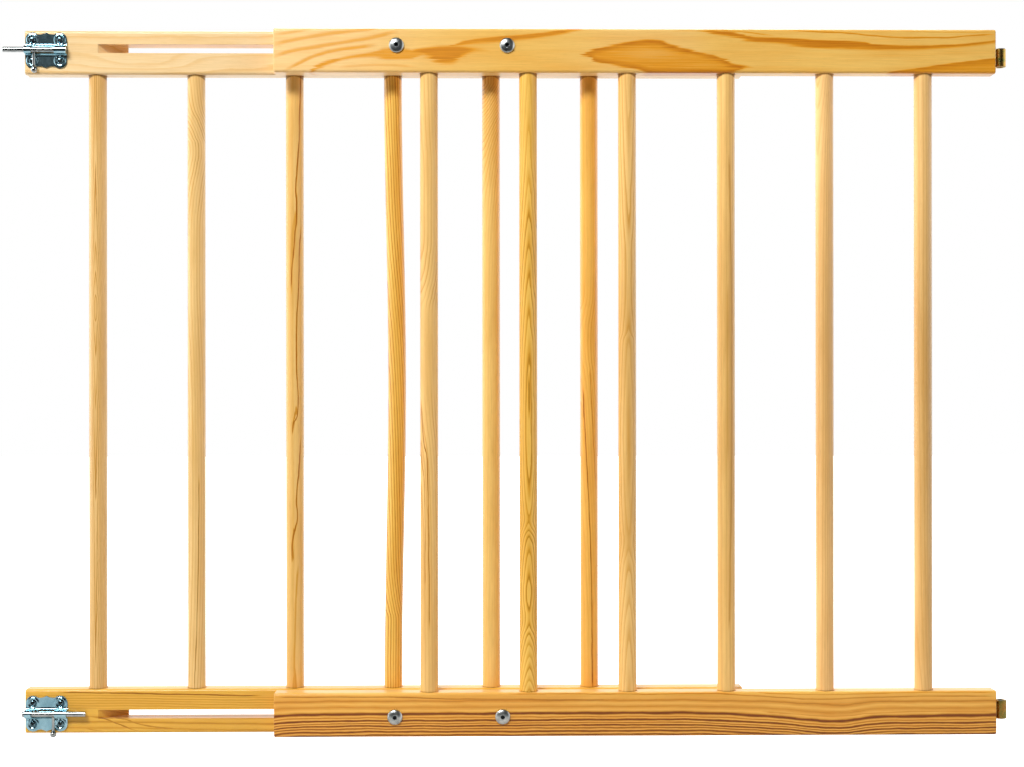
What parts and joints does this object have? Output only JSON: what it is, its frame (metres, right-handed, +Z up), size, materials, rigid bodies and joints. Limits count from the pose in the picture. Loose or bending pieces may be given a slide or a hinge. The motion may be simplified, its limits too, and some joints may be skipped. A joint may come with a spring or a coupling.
{
  "type": "extending safety gate",
  "caption": "Extending wooden baby gate: two overlapping ladder panels clamped through sawn slots, hung on screw-in hinge eyes and closed by small barrel bolts.",
  "frame": {"origin": "the hinge axis at the middle of the lower hinge eye", "axes": "+X along the gate towards the hinges, -Y the front with the barrel bolts, +Z up along the hinge axis"},
  "size_m": [1.0042, 0.0533, 0.7072],
  "materials": {
    "rail_wood": "clear satin varnish on pine boards",
    "bar_wood": "clear satin varnish on turned pine",
    "zinc_steel": "bright blue zinc plating",
    "yellow_steel": "yellow-passivated zinc plating"
  },
  "bodies": {
    "hinge_panel": {"hinge_top_rail": "rail_wood", "hinge_bottom_rail": "rail_wood", "hinge_bar_1": "bar_wood", "hinge_bar_2": "bar_wood", "hinge_bar_3": "bar_wood", "hinge_bar_4": "bar_wood", "hinge_bar_5": "bar_wood", "hinge_bar_6": "bar_wood", "top_outer_clamp_bolt": "zinc_steel", "top_outer_clamp_washer": "zinc_steel", "top_outer_clamp_nut": "zinc_steel", "top_inner_clamp_bolt": "zinc_steel", "top_inner_clamp_washer": "zinc_steel", "top_inner_clamp_nut": "zinc_steel", "bottom_outer_clamp_bolt": "zinc_steel", "bottom_outer_clamp_washer": "zinc_steel", "bottom_outer_clamp_nut": "zinc_steel", "bottom_inner_clamp_bolt": "zinc_steel", "bottom_inner_clamp_washer": "zinc_steel", "bottom_inner_clamp_nut": "zinc_steel", "upper_hinge_eye": "yellow_steel", "lower_hinge_eye": "yellow_steel"},
    "latch_panel": {"latch_top_rail": "rail_wood", "latch_bottom_rail": "rail_wood", "latch_bar_1": "bar_wood", "latch_bar_2": "bar_wood", "latch_bar_3": "bar_wood", "latch_bar_4": "bar_wood", "latch_bar_5": "bar_wood", "latch_bar_6": "bar_wood", "top_latch_plate": "zinc_steel", "bottom_latch_plate": "zinc_steel", "top_latch_screw_1": "zinc_steel", "top_latch_screw_2": "zinc_steel", "top_latch_screw_3": "zinc_steel", "top_latch_screw_4": "zinc_steel", "bottom_latch_screw_1": "zinc_steel", "bottom_latch_screw_2": "zinc_steel", "bottom_latch_screw_3": "zinc_steel", "bottom_latch_screw_4": "zinc_steel"},
    "top_rod": {"top_latch_rod": "zinc_steel"},
    "bottom_rod": {"bottom_latch_rod": "zinc_steel"},
    "top_lever": {"top_latch_lever": "zinc_steel"},
    "bottom_lever": {"bottom_latch_lever": "zinc_steel"}
  },
  "joints": [
    {"name": "width_slide", "type": "slide", "parent": "hinge_panel", "child": "latch_panel", "axis": [-1, 0, 0], "range_m": [-0.186, 0.13]},
    {"name": "top_rod_slide", "type": "slide", "parent": "latch_panel", "child": "top_rod", "axis": [1, 0, 0], "range_m": [0, 0.0187]},
    {"name": "bottom_rod_slide", "type": "slide", "parent": "latch_panel", "child": "bottom_rod", "axis": [-1, 0, 0], "range_m": [0, 0.0187]},
    {"name": "top_lever_turn", "type": "hinge", "parent": "top_rod", "child": "top_lever", "pos_m": [-0.9675, 0.0065, 0.661], "axis": [-1, 0, 0], "range_deg": [0, 180]},
    {"name": "bottom_lever_turn", "type": "hinge", "parent": "bottom_rod", "child": "bottom_lever", "pos_m": [-0.9488, 0.0065, -0.003], "axis": [-1, 0, 0], "range_deg": [0, 180]}
  ]
}
